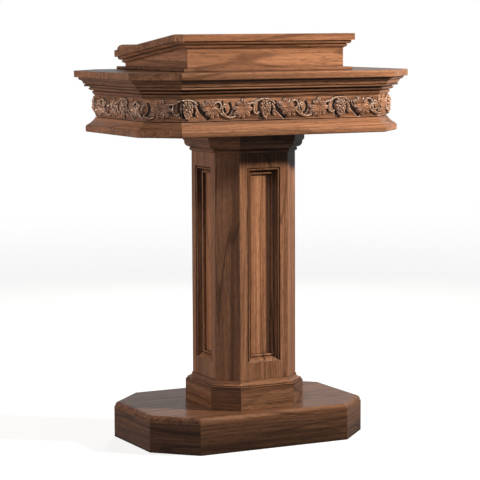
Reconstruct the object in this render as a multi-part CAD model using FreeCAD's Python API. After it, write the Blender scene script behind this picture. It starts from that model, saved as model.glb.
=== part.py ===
"""Free-standing pulpit lectern of stained oak: an octagonal base, a panelled column, a wide top case with a
carved frieze and an open book shelf at the back, and a sloping reading desk on top.

Millimetres, +Z up. The congregation stands at -Y and the reader at +Y. The origin is on the floor, below
the middle of the main top board. Every visible outline is a rectangle with 45 degree chamfers, and every
board and moulding that follows one is mitred on the bisector of its corner.
"""
import FreeCAD
import Part
import math
import os

Vector = FreeCAD.Vector
UP = Vector(0, 0, 1)

# Stock
BOARD = 19.0
FRAME_STOCK = 22.0
EASED_EDGE = 1.5
CLEAT = 19.0

# Heights above the floor
BASE_TOP = 104.0
PLINTH_TOP = 167.5
PLINTH_MOULDING_TOP = 187.0
CAP_BOTTOM = 834.0
CASE_BOTTOM = 890.0
FRIEZE_BOTTOM = 933.5
FRIEZE_TOP = 996.0
CROWN_BOTTOM = 1019.8
CASE_TOP = 1046.0
DESK_HEIGHT = 1168.0
SLOPE_BACK_HEIGHT = 1119.2

# Plan of the main top board, from which the case takes its outline
TOP_HALF_X = 438.8
TOP_HALF_Y = 302.7
TOP_CHAMFER = 109.0
CASE_BOTTOM_INSET = 29.0
WALL_INSET = 64.0

# Plan of the column and of the base
COLUMN_HALF = 128.3
COLUMN_CHAMFER = 51.9
COLUMN_CENTRE_Y = -8.3
PLINTH_STOCK = 20.0
BASE_HALF_X = 341.7
BASE_HALF_Y = 232.9
BASE_CHAMFER = 107.0
BASE_CENTRE_Y = 29.4
BASE_EDGE_STEP = 2.5
BASE_EDGE_RADIUS = 12.0

# Recessed panels of the column
STILE_WIDTH = 24.5
PANEL_OPENING_BOTTOM = 237.0
PANEL_OPENING_TOP = 792.0
PANEL_MOULDING_WIDTH = 20.0
PANEL_THICKNESS = 9.0
PANEL_LAP = 9.0
TENON_LENGTH = 14.0
TENON_THICKNESS = 7.0
TENON_SHOULDER = 8.0

# Open book shelf at the back of the case
SHELF_OPENING_HALF_X = 260.0

# Reading desk
DESK_HALF_X = 270.0
DESK_FRONT_Y = -182.2
DESK_BEND_Y = -125.8
DESK_BACK_Y = 294.6
DESK_OVERHANG = 24.8
PLATE_PROJECTION = 20.0
PLATE_THICKNESS = 8.5
BOOK_STOP_HEIGHT = 15.0
BOOK_STOP_THICKNESS = 14.0
BOOK_STOP_INSET = 7.0
BOOK_STOP_RADIUS = 13.0

# Fasteners
SCREW_RADIUS = 2.5
SCREW_HEAD_RADIUS = 5.0
SCREW_HEAD_DEPTH = 3.0
LAG_RADIUS = 4.0
LAG_HEAD_RADIUS = 8.0
LAG_HEAD_DEPTH = 5.0

OCTAGON_SIDES = (
    "front", "front_right", "right", "back_right", "back", "back_left", "left", "front_left",
)
STRAIGHT_SIDES = ("front", "right", "back", "left")
CORNER_SIDES = ("front_right", "back_right", "back_left", "front_left")

PLATE_TOP = CASE_TOP + BOARD + PLATE_THICKNESS
SLOPE_ANGLE = math.atan2(DESK_HEIGHT - SLOPE_BACK_HEIGHT, DESK_BACK_Y - DESK_BEND_Y)
SOFFIT_BEND = Vector(0, DESK_BEND_Y - BOARD * math.tan(SLOPE_ANGLE / 2), DESK_HEIGHT - BOARD)
SLOPE_LENGTH = (DESK_BACK_Y - DESK_BEND_Y) / math.cos(SLOPE_ANGLE)


# ---- outlines in plan, anticlockwise seen from above, starting at the left end of the front side

def octagon(half_x, half_y, chamfer, centre_y=0.0):
    """Corners of a rectangle with 45 degree chamfers."""
    flat_x = half_x - chamfer
    flat_y = half_y - chamfer
    quarter = [(flat_x, -half_y), (half_x, -flat_y), (half_x, flat_y), (flat_x, half_y)]
    corners = [(-flat_x, -half_y)] + quarter + [(-flat_x, half_y), (-half_x, flat_y), (-half_x, -flat_y)]
    return [Vector(x, y + centre_y, 0) for x, y in corners]


def rectangle(half_x, front_y, back_y):
    """Corners of a rectangle that is symmetric left to right."""
    corners = [(-half_x, front_y), (half_x, front_y), (half_x, back_y), (-half_x, back_y)]
    return [Vector(x, y, 0) for x, y in corners]


def side_axes(corners, index):
    """Start and end of one side, its direction, and the direction inwards."""
    start = corners[index]
    end = corners[(index + 1) % len(corners)]
    along = (end - start).normalize()
    return start, end, along, UP.cross(along)


def inset(corners, distance):
    """The outline with every side moved inwards by the same distance."""
    moved = []
    for index, corner in enumerate(corners):
        inward_before = side_axes(corners, index - 1)[3]
        inward_after = side_axes(corners, index)[3]
        reach = distance / (1 + inward_before.dot(inward_after))
        moved.append(corner + (inward_before + inward_after) * reach)
    return moved


TOP_OUTLINE = octagon(TOP_HALF_X, TOP_HALF_Y, TOP_CHAMFER)
COLUMN_OUTLINE = octagon(COLUMN_HALF, COLUMN_HALF, COLUMN_CHAMFER, COLUMN_CENTRE_Y)
PLINTH_OUTLINE = inset(COLUMN_OUTLINE, -PLINTH_STOCK)
BASE_OUTLINE = octagon(BASE_HALF_X, BASE_HALF_Y, BASE_CHAMFER, BASE_CENTRE_Y)
DESK_BOX = (DESK_HALF_X - DESK_OVERHANG, DESK_FRONT_Y + DESK_OVERHANG, DESK_BACK_Y - DESK_OVERHANG)
DESK_BOX_OUTLINE = rectangle(*DESK_BOX)


# ---- solids

def prism(corners, bottom, top):
    """A flat board or block with the given outline in plan."""
    points = [Vector(c.x, c.y, bottom) for c in corners]
    return Part.Face(Part.makePolygon(points + points[:1])).extrude(UP * (top - bottom))


def box(x_range, y_range, z_range):
    """A rectangular block between the given limits."""
    size = [limits[1] - limits[0] for limits in (x_range, y_range, z_range)]
    return Part.makeBox(*size, Vector(x_range[0], y_range[0], z_range[0]))


def profile_face(profile, place):
    """A face with one edge per step: (a, b) is straight, (via_a, via_b, a, b) is an arc through the via."""
    edges = []
    last = place(*profile[-1][-2:])
    for step in profile:
        to = place(*step[-2:])
        if len(step) == 4:
            edges.append(Part.Arc(last, place(*step[:2]), to).toShape())
        else:
            edges.append(Part.makeLine(last, to))
        last = to
    return Part.Face(Part.Wire(edges))


def mitred_run(profile, corners, index):
    """A length of moulding or board: a profile of (inset, height) run along a side, with mitred ends."""
    start, end, along, inward = side_axes(corners, index)
    insets = [value for step in profile for value in step[0::2]]
    heights = [value for step in profile for value in step[1::2]]
    outer = inset(corners, min(insets) - 1)
    inner = inset(corners, max(insets) + 1)
    after = (index + 1) % len(corners)
    wedge = prism(
        [outer[index], outer[after], inner[after], inner[index]], min(heights) - 1, max(heights) + 1
    )
    reach = along * (max(insets) - min(min(insets), 0) + 2)
    face = profile_face(profile, lambda depth, height: start - reach + inward * depth + UP * height)
    return face.extrude(end - start + reach * 2).common(wedge).Solids[0]


def ring(profile, corners):
    """Every mitred length round the outline, in the order of its sides."""
    return [mitred_run(profile, corners, index) for index in range(len(corners))]


def flat_profile(depth, bottom, top, face=0.0):
    """Section of a plain board that stands on edge, with its outer face on the outline moved in by face."""
    return [(face, bottom), (face + depth, bottom), (face + depth, top), (face, top)]


def eased(solid, radius=EASED_EDGE):
    """The solid with its level edges rounded."""
    level = [
        edge for edge in solid.Edges
        if abs(edge.Vertexes[0].Z - edge.Vertexes[-1].Z) < 1e-6
    ]
    return solid.makeFillet(radius, level)


def on_slope(shape):
    """Moves a shape from a level frame with its origin at the bend onto the slope of the reading board."""
    moved = shape.copy()
    moved.Placement = FreeCAD.Placement(
        SOFFIT_BEND, FreeCAD.Rotation(Vector(1, 0, 0), -math.degrees(SLOPE_ANGLE))
    ).multiply(moved.Placement)
    return moved


def on_face(shape, origin, along):
    """Moves a shape drawn flat in X and Y onto an upright face: X goes along it, Y goes up, Z outwards."""
    moved = shape.copy()
    turn = FreeCAD.Rotation(along, UP, along.cross(UP), "ZXY")
    moved.Placement = FreeCAD.Placement(origin, turn).multiply(moved.Placement)
    return moved


def cut_all(solid, tools):
    """The solid with every tool cut from it."""
    return solid.cut(Part.makeCompound(tools)).Solids[0] if tools else solid


# ---- fasteners

def wood_screw(point, length, upwards, radius=SCREW_RADIUS, head_radius=SCREW_HEAD_RADIUS,
               head_depth=SCREW_HEAD_DEPTH):
    """A countersunk screw whose head is flush with the surface at the point."""
    direction = UP if upwards else -UP
    head = Part.makeCone(head_radius, radius, head_depth, point, direction)
    shank = Part.makeCylinder(radius, length - head_depth, point + direction * head_depth, direction)
    return head.fuse(shank).removeSplitter()


def lag_screw(point, length, upwards):
    """A heavy countersunk screw that ties the column to the base or to the case."""
    return wood_screw(point, length, upwards, LAG_RADIUS, LAG_HEAD_RADIUS, LAG_HEAD_DEPTH)


def column_lags(level, upwards):
    """Four heavy screws on a square inside the column."""
    spread = COLUMN_HALF / 2
    points = [(x, y + COLUMN_CENTRE_Y) for x in (-spread, spread) for y in (-spread, spread)]
    return [lag_screw(Vector(x, y, level), 2.5 * BOARD, upwards) for x, y in points]


# ---- base

def make_base(nodes):
    board_bottom = BASE_TOP - BOARD
    skirt = dict(zip(OCTAGON_SIDES, ring(flat_profile(BOARD, 0, board_bottom), BASE_OUTLINE)))
    for side in STRAIGHT_SIDES:
        nodes["base_skirt_" + side] = [skirt[side]]
    nodes["base_skirt_corners"] = [skirt[side] for side in CORNER_SIDES]

    shoulder = BASE_TOP - BASE_EDGE_RADIUS - BASE_EDGE_STEP
    upper = prism(inset(BASE_OUTLINE, BASE_EDGE_STEP), shoulder, BASE_TOP)
    top_edges = [edge for edge in upper.Edges if min(v.Z for v in edge.Vertexes) > BASE_TOP - 1e-6]
    upper = upper.makeFillet(BASE_EDGE_RADIUS, top_edges)
    board = prism(BASE_OUTLINE, board_bottom, shoulder).fuse(upper).removeSplitter()
    lags = column_lags(board_bottom, upwards=True)
    nodes["base_top_board"] = [cut_all(board, lags)]
    nodes["column_screws"] = lags

    cleat = flat_profile(CLEAT, board_bottom - 2 * CLEAT, board_bottom, face=BOARD)
    nodes["base_cleats"] = [
        mitred_run(cleat, BASE_OUTLINE, OCTAGON_SIDES.index(side)) for side in STRAIGHT_SIDES
    ]


# ---- column

def make_plinth(nodes):
    board = flat_profile(PLINTH_STOCK, BASE_TOP, PLINTH_TOP)
    boards = dict(zip(OCTAGON_SIDES, ring(board, PLINTH_OUTLINE)))
    nodes["plinth_boards"] = [boards[side] for side in STRAIGHT_SIDES]
    nodes["plinth_corners"] = [boards[side] for side in CORNER_SIDES]

    top = PLINTH_MOULDING_TOP
    section = [
        (PLINTH_STOCK, PLINTH_TOP), (PLINTH_STOCK, top),
        (PLINTH_STOCK - 3.0, top), (PLINTH_STOCK - 3.0, top - 3.0),
        (PLINTH_STOCK - 5.0, top - 9.0, 9.0, top - 11.5), (4.5, top - 12.0),
        (4.5, top - 13.5), (8.0, top - 13.5), (8.0, PLINTH_TOP + 4.3), (4.2, PLINTH_TOP + 4.3),
        (1.8, PLINTH_TOP + 2.2, 3.6, PLINTH_TOP),
    ]
    nodes["plinth_moulding"] = ring(section, PLINTH_OUTLINE)


def face_frame(index):
    """The two stiles and two rails of one panelled face, with tenons on the rails."""
    start, end, along, inward = side_axes(COLUMN_OUTLINE, index)
    length = (end - start).Length
    wall = mitred_run(flat_profile(FRAME_STOCK, BASE_TOP, CASE_BOTTOM), COLUMN_OUTLINE, index)

    def block(first, last, depth_from, depth_to, bottom, top):
        corners = [
            start + along * first + inward * depth_from, start + along * last + inward * depth_from,
            start + along * last + inward * depth_to, start + along * first + inward * depth_to,
        ]
        return prism(corners, bottom, top)

    rails = []
    tenon_depth = (FRAME_STOCK - TENON_THICKNESS) / 2
    for bottom, top in ((BASE_TOP, PANEL_OPENING_BOTTOM), (PANEL_OPENING_TOP, CASE_BOTTOM)):
        rail = block(STILE_WIDTH, length - STILE_WIDTH, 0, FRAME_STOCK, bottom, top)
        tenon = block(
            STILE_WIDTH - TENON_LENGTH, length - STILE_WIDTH + TENON_LENGTH,
            tenon_depth, FRAME_STOCK - tenon_depth, bottom + TENON_SHOULDER, top - TENON_SHOULDER,
        )
        rails.append(rail.fuse(tenon).removeSplitter().Solids[0])

    gap = length - 2 * STILE_WIDTH
    middle = block(STILE_WIDTH, STILE_WIDTH + gap, -1, FRAME_STOCK + 1, BASE_TOP - 1, CASE_BOTTOM + 1)
    stiles = wall.cut(middle.fuse(rails)).Solids
    return stiles + rails


def face_panel(index):
    """The flat panel that closes the back of one frame."""
    start, end, along, inward = side_axes(COLUMN_OUTLINE, index)
    edge = STILE_WIDTH - PANEL_LAP
    near = start + along * edge + inward * FRAME_STOCK
    far = end - along * edge + inward * FRAME_STOCK
    corners = [near, far, far + inward * PANEL_THICKNESS, near + inward * PANEL_THICKNESS]
    return prism(corners, PANEL_OPENING_BOTTOM - PANEL_LAP, PANEL_OPENING_TOP + PANEL_LAP)


def face_moulding(index):
    """Four mitred strips round the inside of the opening: a bead, a cove and an inner bead.

    The lowest strip has a plain splay that starts flush with the frame in place of the outer bead and cove.
    """
    start, end, along, inward = side_axes(COLUMN_OUTLINE, index)
    middle = (start + end) / 2 + UP * (PANEL_OPENING_BOTTOM + PANEL_OPENING_TOP) / 2
    half_width = (end - start).Length / 2 - STILE_WIDTH
    half_height = (PANEL_OPENING_TOP - PANEL_OPENING_BOTTOM) / 2
    opening = rectangle(half_width, -half_height, half_height)
    width = PANEL_MOULDING_WIDTH
    inner_bead = [
        (0, -FRAME_STOCK), (width, -FRAME_STOCK), (width, -17.5),
        (width - 3.5, -13.0, width - 7.0, -15.5),
        (width - 7.0, -16.5),
    ]
    bead_and_cove = [(width - 11.0, -13.0, 7.0, -5.0), (4.5, -1.0, 2.0, -4.0), (0, -4.5)]
    splay = [(2.5, -2.0, 0, -0.4)]
    strips = ring(inner_bead + bead_and_cove, opening)
    strips[0] = ring(inner_bead + splay, opening)[0]
    return [on_face(strip, middle, along) for strip in strips]


def make_column(nodes):
    wall = flat_profile(FRAME_STOCK, BASE_TOP, CASE_BOTTOM)
    for side in CORNER_SIDES:
        index = OCTAGON_SIDES.index(side)
        nodes["column_stave_" + side] = [mitred_run(wall, COLUMN_OUTLINE, index)]
    for side in STRAIGHT_SIDES:
        index = OCTAGON_SIDES.index(side)
        nodes["column_frame_" + side] = face_frame(index)
        nodes["column_panel_" + side] = [face_panel(index)]
        nodes["panel_moulding_" + side] = face_moulding(index)

    core = inset(COLUMN_OUTLINE, FRAME_STOCK)
    lower = prism(core, BASE_TOP, BASE_TOP + 2 * BOARD)
    upper = prism(core, CASE_BOTTOM - 2 * BOARD, CASE_BOTTOM)
    case_lags = column_lags(CASE_BOTTOM + BOARD, upwards=False)
    nodes["column_blocks"] = [cut_all(lower, nodes["column_screws"]), cut_all(upper, case_lags)]
    nodes["column_screws"] += case_lags

    section = [
        (25.0, CASE_BOTTOM), (25.0, CAP_BOTTOM), (23.5, CAP_BOTTOM),
        (19.4, CAP_BOTTOM + 3.5, 20.5, CAP_BOTTOM + 9.0),
        (20.5, CAP_BOTTOM + 11.0), (18.0, CAP_BOTTOM + 11.0),
        (8.5, CAP_BOTTOM + 16.5, 5.3, CAP_BOTTOM + 26.0), (5.3, CAP_BOTTOM + 29.0),
        (3.0, CAP_BOTTOM + 30.5, 1.5, CAP_BOTTOM + 33.5), (0, CAP_BOTTOM + 33.5), (0, CASE_BOTTOM),
    ]
    nodes["cap_moulding"] = ring(section, inset(COLUMN_OUTLINE, -25.0))


# ---- top case

def make_case_walls(nodes):
    floor = CASE_BOTTOM + BOARD
    board = flat_profile(BOARD, floor, CASE_TOP, face=WALL_INSET)
    walls = dict(zip(OCTAGON_SIDES, ring(board, TOP_OUTLINE)))
    for side in ("front", "left", "right"):
        nodes["case_wall_" + side] = [walls[side]]
    nodes["case_wall_corners"] = [walls[side] for side in CORNER_SIDES]

    wall_y = (TOP_HALF_Y - WALL_INSET - BOARD, TOP_HALF_Y - WALL_INSET)
    opening_x = (-SHELF_OPENING_HALF_X, SHELF_OPENING_HALF_X)
    gap = box(opening_x, (wall_y[0] - 1, wall_y[1] + 1), (floor - 1, CASE_TOP + 1))
    rail = box(opening_x, wall_y, (FRIEZE_TOP, CASE_TOP))
    nodes["case_back_frame"] = walls["back"].cut(gap).Solids + [rail]

    board = eased(prism(inset(TOP_OUTLINE, CASE_BOTTOM_INSET), CASE_BOTTOM, floor), radius=4.0)
    nodes["case_bottom_board"] = [cut_all(board, nodes["column_screws"])]


def make_case_mouldings(nodes):
    floor = CASE_BOTTOM + BOARD
    back = OCTAGON_SIDES.index("back")
    opening = box(
        (-SHELF_OPENING_HALF_X, SHELF_OPENING_HALF_X), (0, TOP_HALF_Y), (floor - 1, FRIEZE_TOP + 1)
    )

    cove = [
        (WALL_INSET, floor), (WALL_INSET, FRIEZE_BOTTOM), (59.0, FRIEZE_BOTTOM),
        (59.0, FRIEZE_BOTTOM - 2.4), (54.0, FRIEZE_BOTTOM - 2.4), (53.5, FRIEZE_BOTTOM - 5.0),
        (46.0, FRIEZE_BOTTOM - 13.5, 36.0, floor + 3.0),
        (32.5, floor + 2.0), (32.5, floor),
    ]
    lengths = ring(cove, TOP_OUTLINE)
    nodes["cove_moulding"] = lengths[:back] + lengths[back].cut(opening).Solids + lengths[back + 1:]

    frieze = [
        (WALL_INSET, FRIEZE_BOTTOM), (WALL_INSET, FRIEZE_TOP), (53.0, FRIEZE_TOP),
        (48.5, (FRIEZE_BOTTOM + FRIEZE_TOP) / 2 + 4.0, 55.0, FRIEZE_BOTTOM),
    ]
    bands = dict(zip(OCTAGON_SIDES, ring(frieze, TOP_OUTLINE)))
    for side in ("front", "left", "right"):
        nodes["frieze_" + side] = [bands[side]]
    nodes["frieze_back"] = bands["back"].cut(opening).Solids
    nodes["frieze_corners"] = [bands[side] for side in CORNER_SIDES]

    bed = [
        (WALL_INSET, FRIEZE_TOP), (WALL_INSET, CROWN_BOTTOM), (41.0, CROWN_BOTTOM),
        (41.0, CROWN_BOTTOM - 4.0), (38.0, CROWN_BOTTOM - 4.5), (38.0, CROWN_BOTTOM - 6.5),
        (40.5, CROWN_BOTTOM - 9.5, 46.5, CROWN_BOTTOM - 10.8),
        (51.0, CROWN_BOTTOM - 10.8), (51.0, FRIEZE_TOP + 11.2), (49.5, FRIEZE_TOP + 11.2),
        (47.6, FRIEZE_TOP + 7.0, 49.6, FRIEZE_TOP + 2.8),
        (51.5, FRIEZE_TOP + 2.8), (51.5, FRIEZE_TOP),
    ]
    nodes["bed_moulding"] = ring(bed, TOP_OUTLINE)

    crown = [
        (WALL_INSET, CROWN_BOTTOM), (WALL_INSET, CASE_TOP), (11.0, CASE_TOP), (11.0, CASE_TOP - 2.0),
        (12.8, CASE_TOP - 6.5, 16.5, CASE_TOP - 8.5),
        (20.5, CASE_TOP - 10.5, 22.0, CASE_TOP - 14.0),
        (23.5, CASE_TOP - 14.0), (23.5, CASE_TOP - 18.4), (28.5, CASE_TOP - 18.4),
        (28.5, CROWN_BOTTOM + 5.4), (27.2, CROWN_BOTTOM + 5.4),
        (25.6, CROWN_BOTTOM + 2.6, 28.8, CROWN_BOTTOM),
    ]
    nodes["crown_moulding"] = ring(crown, TOP_OUTLINE)


def make_case_top(nodes):
    board_top = CASE_TOP + BOARD
    cleat = flat_profile(CLEAT, CASE_TOP - CLEAT, CASE_TOP, face=WALL_INSET + BOARD)
    sides = ("front", "right", "left")
    cleats = [mitred_run(cleat, TOP_OUTLINE, OCTAGON_SIDES.index(side)) for side in sides]
    line = inset(TOP_OUTLINE, WALL_INSET + BOARD + CLEAT / 2)
    screws = []
    for side in sides:
        start, end = side_axes(line, OCTAGON_SIDES.index(side))[:2]
        for share in (0.15, 0.85):
            point = start + (end - start) * share + UP * (CASE_TOP - CLEAT)
            screws.append(wood_screw(point, CLEAT + 0.6 * BOARD, upwards=True))
    desk_screws = desk_screw_set()
    nodes["case_cleats"] = [cut_all(piece, screws) for piece in cleats]
    nodes["board_screws"] = screws + desk_screws
    nodes["main_top_board"] = [
        cut_all(eased(prism(TOP_OUTLINE, CASE_TOP, board_top), radius=2.0), screws + desk_screws)
    ]


# ---- reading desk

def desk_screw_set():
    """Screws up through the main top board and the plate into the cleats of the desk."""
    half_x, front_y, back_y = DESK_BOX
    in_from_face = BOARD + CLEAT / 2
    length = BOARD + PLATE_THICKNESS + 0.7 * CLEAT
    columns = [-half_x + in_from_face, 0, half_x - in_from_face]
    rows = [front_y + in_from_face, back_y - in_from_face]
    return [wood_screw(Vector(x, y, CASE_TOP), length, upwards=True) for x in columns for y in rows]


def below_desk_boards():
    """The space under the level strip and the reading board, as wide as the desk."""
    soffit_back = SOFFIT_BEND + Vector(0, math.cos(SLOPE_ANGLE), -math.sin(SLOPE_ANGLE)) * SLOPE_LENGTH
    points = [
        (DESK_FRONT_Y, PLATE_TOP), (soffit_back.y, PLATE_TOP),
        (soffit_back.y, soffit_back.z), (SOFFIT_BEND.y, SOFFIT_BEND.z), (DESK_FRONT_Y, SOFFIT_BEND.z),
    ]
    face = profile_face(points, lambda y, z: Vector(-DESK_HALF_X, y, z))
    return face.extrude(Vector(2 * DESK_HALF_X, 0, 0))


def make_desk_box(nodes):
    under_boards = below_desk_boards()
    panels = ring(flat_profile(BOARD, PLATE_TOP, SOFFIT_BEND.z), DESK_BOX_OUTLINE)
    for side, panel in zip(STRAIGHT_SIDES, panels):
        nodes["desk_panel_" + side] = [panel.common(under_boards).Solids[0]]

    screws = desk_screw_set()
    plate = prism(inset(DESK_BOX_OUTLINE, -PLATE_PROJECTION), CASE_TOP + BOARD, PLATE_TOP)
    nodes["desk_plate"] = [cut_all(eased(plate, radius=2.5), screws)]
    cleats = ring(flat_profile(CLEAT, PLATE_TOP, PLATE_TOP + CLEAT, face=BOARD), DESK_BOX_OUTLINE)
    nodes["desk_cleats"] = [cut_all(cleat.common(under_boards), screws) for cleat in cleats]


def desk_moulding_section():
    """Small cornice under the desk boards: (inset from the board edge, depth below the soffit)."""
    return [
        (DESK_OVERHANG + 4.0, 0), (7.5, 0), (7.5, -2.5),
        (9.0, -7.5, 14.0, -9.8),
        (17.5, -9.8), (17.5, -12.2), (15.5, -12.2),
        (17.0, -16.8, 22.0, -19.5),
        (22.0, -21.0), (DESK_OVERHANG + 4.0, -21.0),
    ]


def make_desk_mouldings(nodes):
    """The cornice: level at the front, then down both sides along the slope, and across the back."""
    section = desk_moulding_section()
    far = 2 * SLOPE_LENGTH
    level_outline = rectangle(DESK_HALF_X, DESK_FRONT_Y - SOFFIT_BEND.y, far)
    slope_outline = rectangle(DESK_HALF_X, -far, SLOPE_LENGTH)
    before_bend = box((-far, far), (-far, 0), (-far, far))
    before_bend.rotate(Vector(0, 0, 0), Vector(1, 0, 0), -math.degrees(SLOPE_ANGLE) / 2)
    after_bend = box((-far, far), (0, far), (-far, far))
    after_bend.rotate(Vector(0, 0, 0), Vector(1, 0, 0), math.degrees(SLOPE_ANGLE) / 2)
    box_inside = prism(DESK_BOX_OUTLINE, PLATE_TOP, DESK_HEIGHT)

    pieces = {"front": [], "right": [], "back": [], "left": []}
    for side in ("front", "right", "left"):
        level = mitred_run(section, level_outline, STRAIGHT_SIDES.index(side)).common(before_bend)
        level.translate(SOFFIT_BEND)
        pieces[side].append(level)
    for side in ("right", "back", "left"):
        sloped = mitred_run(section, slope_outline, STRAIGHT_SIDES.index(side)).common(after_bend)
        pieces[side].append(on_slope(sloped))
    for side, lengths in pieces.items():
        nodes["desk_moulding_" + side] = [length.cut(box_inside).Solids[0] for length in lengths]


def make_desk_boards(nodes):
    bend_shift = BOARD * math.tan(SLOPE_ANGLE / 2)
    front = DESK_FRONT_Y - SOFFIT_BEND.y
    across = Vector(2 * DESK_HALF_X, 0, 0)

    strip = [(front, 0), (0, 0), (bend_shift, BOARD), (front, BOARD)]
    face = profile_face(strip, lambda y, z: Vector(-DESK_HALF_X, y, z) + SOFFIT_BEND)
    nodes["desk_cap_strip"] = [face.extrude(across)]

    lower_end = SLOPE_LENGTH - bend_shift
    slope = [(0, 0), (lower_end, 0), (lower_end, BOARD), (-bend_shift, BOARD)]
    face = profile_face(slope, lambda y, z: Vector(-DESK_HALF_X, y, z))
    nodes["reading_board"] = [on_slope(face.extrude(across))]

    half = DESK_HALF_X - BOOK_STOP_INSET
    top = BOARD + BOOK_STOP_HEIGHT
    radius = BOOK_STOP_RADIUS
    mid = radius * (1 - math.sqrt(0.5))
    ends = [
        (-half, BOARD), (half, BOARD), (half, top - radius), (half - mid, top - mid, half - radius, top),
        (-half + radius, top), (-half + mid, top - mid, -half, top - radius),
    ]
    back = lower_end - BOOK_STOP_INSET
    face = profile_face(ends, lambda x, z: Vector(x, back - BOOK_STOP_THICKNESS, z))
    nodes["book_stop"] = [on_slope(face.extrude(Vector(0, BOOK_STOP_THICKNESS, 0)))]


def main():
    nodes = {}
    make_base(nodes)
    make_plinth(nodes)
    make_column(nodes)
    make_case_walls(nodes)
    make_case_mouldings(nodes)
    make_case_top(nodes)
    make_desk_box(nodes)
    make_desk_mouldings(nodes)
    make_desk_boards(nodes)

    os.makedirs("parts", exist_ok=True)
    for name, solids in nodes.items():
        shape = solids[0] if len(solids) == 1 else Part.makeCompound(solids)
        shape.exportStep(os.path.join("parts", name + ".step"))
        bounds = shape.BoundBox
        print(
            f"{name:26s} solids {len(shape.Solids):2d} valid {shape.isValid()} "
            f"z {bounds.ZMin:8.1f} {bounds.ZMax:8.1f} volume {shape.Volume / 1e3:9.1f} cm3"
        )
    print(len(nodes), "nodes")


main()
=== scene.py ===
"""Looks of the pulpit lectern: stained oak on every board and moulding, and a carved grapevine frieze.

Metres, +Z up, the congregation at -Y and the reader at +Y, as in the CAD model.
"""
import math

import bpy
import numpy as np
from mathutils import Matrix, Vector


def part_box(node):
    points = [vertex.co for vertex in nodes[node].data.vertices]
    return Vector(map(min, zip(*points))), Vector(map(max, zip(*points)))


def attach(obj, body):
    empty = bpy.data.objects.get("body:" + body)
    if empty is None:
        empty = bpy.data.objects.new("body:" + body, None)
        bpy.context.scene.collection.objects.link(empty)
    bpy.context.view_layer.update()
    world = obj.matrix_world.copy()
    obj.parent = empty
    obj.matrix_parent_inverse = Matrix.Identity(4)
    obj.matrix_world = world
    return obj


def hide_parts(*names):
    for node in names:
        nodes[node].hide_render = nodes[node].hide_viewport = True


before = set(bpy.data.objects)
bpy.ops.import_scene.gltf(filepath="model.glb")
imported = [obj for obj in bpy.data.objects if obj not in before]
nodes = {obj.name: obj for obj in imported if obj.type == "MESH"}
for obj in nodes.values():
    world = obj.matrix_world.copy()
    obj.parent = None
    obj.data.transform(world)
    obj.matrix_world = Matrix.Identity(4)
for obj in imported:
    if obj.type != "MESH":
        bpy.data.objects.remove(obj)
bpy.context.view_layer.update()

MM = 0.001
HALF_CORNER = math.pi / 8

# Corners cut off the octagons in plan, and how far the case walls stand inside the edge of its top
CASE_CHAMFER = 0.109
COLUMN_CHAMFER = 0.0519
BASE_CHAMFER = 0.107
WALL_INSET = 0.064


def plan_outline(node, chamfer, inset=0.0):
    """Half sizes, chamfer and middle depth of the octagon that a node fills, moved in by inset."""
    low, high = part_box(node)
    return {
        "half_x": (high.x - low.x) / 2 - inset,
        "half_y": (high.y - low.y) / 2 - inset,
        "chamfer": chamfer - inset * (2 - math.sqrt(2)),
        "centre_y": (high.y + low.y) / 2,
    }


CASE_OUTLINE = plan_outline("main_top_board", CASE_CHAMFER)
BASE_OUTLINE = plan_outline("base_top_board", BASE_CHAMFER)


def union_outline(names, chamfer):
    """The octagon round several nodes together."""
    lows, highs = zip(*(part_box(name) for name in names))
    low_y = min(low.y for low in lows)
    high_y = max(high.y for high in highs)
    return {
        "half_x": max(high.x for high in highs),
        "half_y": (high_y - low_y) / 2,
        "chamfer": chamfer,
        "centre_y": (high_y + low_y) / 2,
    }


COLUMN_OUTLINE = union_outline(
    [f"column_frame_{side}" for side in ("front", "back", "left", "right")], COLUMN_CHAMFER
)


# ---- procedural wood

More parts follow.
